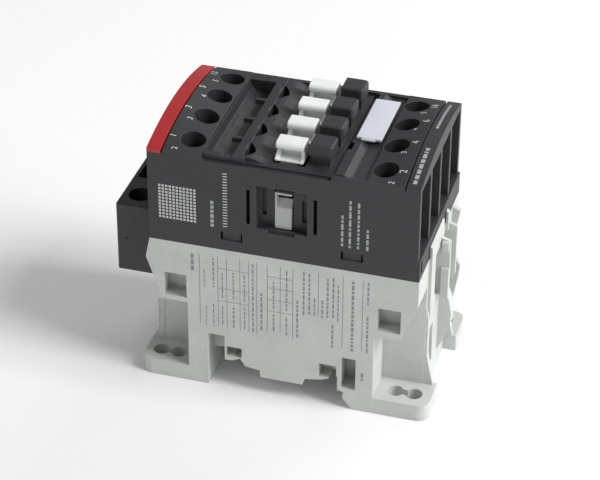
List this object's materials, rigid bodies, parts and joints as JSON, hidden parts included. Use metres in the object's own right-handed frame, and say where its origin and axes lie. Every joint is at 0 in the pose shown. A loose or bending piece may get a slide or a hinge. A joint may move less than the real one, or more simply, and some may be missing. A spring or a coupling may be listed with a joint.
{
  "type": "contactor",
  "caption": "Compact rail-mounting contactor with screw terminals, a sprung contact carrier, a coil block on one end and slotted fixing feet.",
  "frame": {"origin": "centre of the fixing-hole pattern on the mounting plane", "axes": "+X from the line side (coil terminals) to the load side, +Y across the poles, +Z from the mounting plane to the front"},
  "size_m": [0.086, 0.045, 0.0765],
  "materials": {
    "base_grey": "light grey moulded thermoplastic, fine spark texture",
    "housing_dark": "dark grey moulded thermoplastic, fine spark texture",
    "accent_red": "red moulded insert, satin",
    "label_pale": "pale marker plate, satin",
    "carrier_pale": "pale grey moulded thermoplastic, satin",
    "screw_steel": "zinc plated",
    "contact_copper": "copper alloy, lightly tarnished",
    "core_steel": "stacked laminations, oiled",
    "spring_steel": "drawn wire",
    "bobbin_black": "glass-filled nylon",
    "winding_copper": "enamelled wire",
    "board_green": "glass-epoxy board",
    "cushion_rubber": "matte"
  },
  "bodies": {
    "base": {"base_housing": "base_grey", "pole_housing": "housing_dark", "front_cover": "housing_dark", "accent_strip": "accent_red", "end_strip": "housing_dark", "label_plate": "label_pale", "coil_terminal_block": "housing_dark", "fixed_core": "core_steel", "coil_bobbin": "bobbin_black", "coil_winding": "winding_copper", "core_cushion": "cushion_rubber", "control_board": "board_green", "arc_plates_line": "spring_steel", "arc_plates_load": "spring_steel", "return_spring_near": "spring_steel", "return_spring_far": "spring_steel", "latch_spring": "spring_steel", "rail_wire": "spring_steel", "fixed_contact_line_1": "contact_copper", "fixed_contact_load_1": "contact_copper", "fixed_contact_line_2": "contact_copper", "fixed_contact_load_2": "contact_copper", "fixed_contact_line_3": "contact_copper", "fixed_contact_load_3": "contact_copper", "fixed_contact_line_4": "contact_copper", "fixed_contact_load_4": "contact_copper", "coil_tab_a1": "contact_copper", "coil_tab_a2": "contact_copper"},
    "carrier": {"contact_carrier": "carrier_pale", "armature": "core_steel", "contact_spring_1": "spring_steel", "contact_spring_2": "spring_steel", "contact_spring_3": "spring_steel", "contact_spring_4": "spring_steel"},
    "latch": {"rail_latch": "base_grey"},
    "bridge_1": {"contact_bridge_1": "contact_copper"},
    "terminal_line_1": {"screw_line_1": "screw_steel", "clamp_line_1": "screw_steel"},
    "terminal_load_1": {"screw_load_1": "screw_steel", "clamp_load_1": "screw_steel"},
    "bridge_2": {"contact_bridge_2": "contact_copper"},
    "terminal_line_2": {"screw_line_2": "screw_steel", "clamp_line_2": "screw_steel"},
    "terminal_load_2": {"screw_load_2": "screw_steel", "clamp_load_2": "screw_steel"},
    "bridge_3": {"contact_bridge_3": "contact_copper"},
    "terminal_line_3": {"screw_line_3": "screw_steel", "clamp_line_3": "screw_steel"},
    "terminal_load_3": {"screw_load_3": "screw_steel", "clamp_load_3": "screw_steel"},
    "bridge_4": {"contact_bridge_4": "contact_copper"},
    "terminal_line_4": {"screw_line_4": "screw_steel", "clamp_line_4": "screw_steel"},
    "terminal_load_4": {"screw_load_4": "screw_steel", "clamp_load_4": "screw_steel"},
    "coil_terminal_a1": {"coil_screw_a1": "screw_steel", "coil_clamp_a1": "screw_steel"},
    "coil_terminal_a2": {"coil_screw_a2": "screw_steel", "coil_clamp_a2": "screw_steel"}
  },
  "joints": [
    {"name": "carrier_slide", "type": "slide", "parent": "base", "child": "carrier", "axis": [0, 0, -1], "range_m": [0, 0.0046], "stiffness_N_per_m": 600, "springref_m": -0.003, "deforming": ["return_spring_near", "return_spring_far"]},
    {"name": "latch_slide", "type": "slide", "parent": "base", "child": "latch", "axis": [-1, 0, 0], "range_m": [0, 0.0026], "stiffness_N_per_m": 900, "springref_m": -0.001, "deforming": ["latch_spring"]},
    {"name": "bridge_1_overtravel", "type": "slide", "parent": "carrier", "child": "bridge_1", "axis": [0, 0, 1], "range_m": [0, 0.0012], "deforming": ["contact_spring_1"]},
    {"name": "terminal_line_1_clamp", "type": "slide", "parent": "base", "child": "terminal_line_1", "axis": [0, 0, -1], "range_m": [0, 0.0039]},
    {"name": "terminal_load_1_clamp", "type": "slide", "parent": "base", "child": "terminal_load_1", "axis": [0, 0, -1], "range_m": [0, 0.0039]},
    {"name": "bridge_2_overtravel", "type": "slide", "parent": "carrier", "child": "bridge_2", "axis": [0, 0, 1], "range_m": [0, 0.0012], "deforming": ["contact_spring_2"]},
    {"name": "terminal_line_2_clamp", "type": "slide", "parent": "base", "child": "terminal_line_2", "axis": [0, 0, -1], "range_m": [0, 0.0039]},
    {"name": "terminal_load_2_clamp", "type": "slide", "parent": "base", "child": "terminal_load_2", "axis": [0, 0, -1], "range_m": [0, 0.0039]},
    {"name": "bridge_3_overtravel", "type": "slide", "parent": "carrier", "child": "bridge_3", "axis": [0, 0, 1], "range_m": [0, 0.0012], "deforming": ["contact_spring_3"]},
    {"name": "terminal_line_3_clamp", "type": "slide", "parent": "base", "child": "terminal_line_3", "axis": [0, 0, -1], "range_m": [0, 0.0039]},
    {"name": "terminal_load_3_clamp", "type": "slide", "parent": "base", "child": "terminal_load_3", "axis": [0, 0, -1], "range_m": [0, 0.0039]},
    {"name": "bridge_4_overtravel", "type": "slide", "parent": "carrier", "child": "bridge_4", "axis": [0, 0, 1], "range_m": [0, 0.0012], "deforming": ["contact_spring_4"]},
    {"name": "terminal_line_4_clamp", "type": "slide", "parent": "base", "child": "terminal_line_4", "axis": [0, 0, -1], "range_m": [0, 0.0039]},
    {"name": "terminal_load_4_clamp", "type": "slide", "parent": "base", "child": "terminal_load_4", "axis": [0, 0, -1], "range_m": [0, 0.0039]},
    {"name": "coil_terminal_a1_clamp", "type": "slide", "parent": "base", "child": "coil_terminal_a1", "axis": [0, 0, -1], "range_m": [0, 0.0025]},
    {"name": "coil_terminal_a2_clamp", "type": "slide", "parent": "base", "child": "coil_terminal_a2", "axis": [0, 0, -1], "range_m": [0, 0.0025]}
  ],
  "couplings": [
    {"joint": "bridge_1_overtravel", "follows": "carrier_slide", "ratio": 0.26},
    {"joint": "bridge_2_overtravel", "follows": "carrier_slide", "ratio": 0.26},
    {"joint": "bridge_3_overtravel", "follows": "carrier_slide", "ratio": 0.26},
    {"joint": "bridge_4_overtravel", "follows": "carrier_slide", "ratio": 0.26}
  ]
}
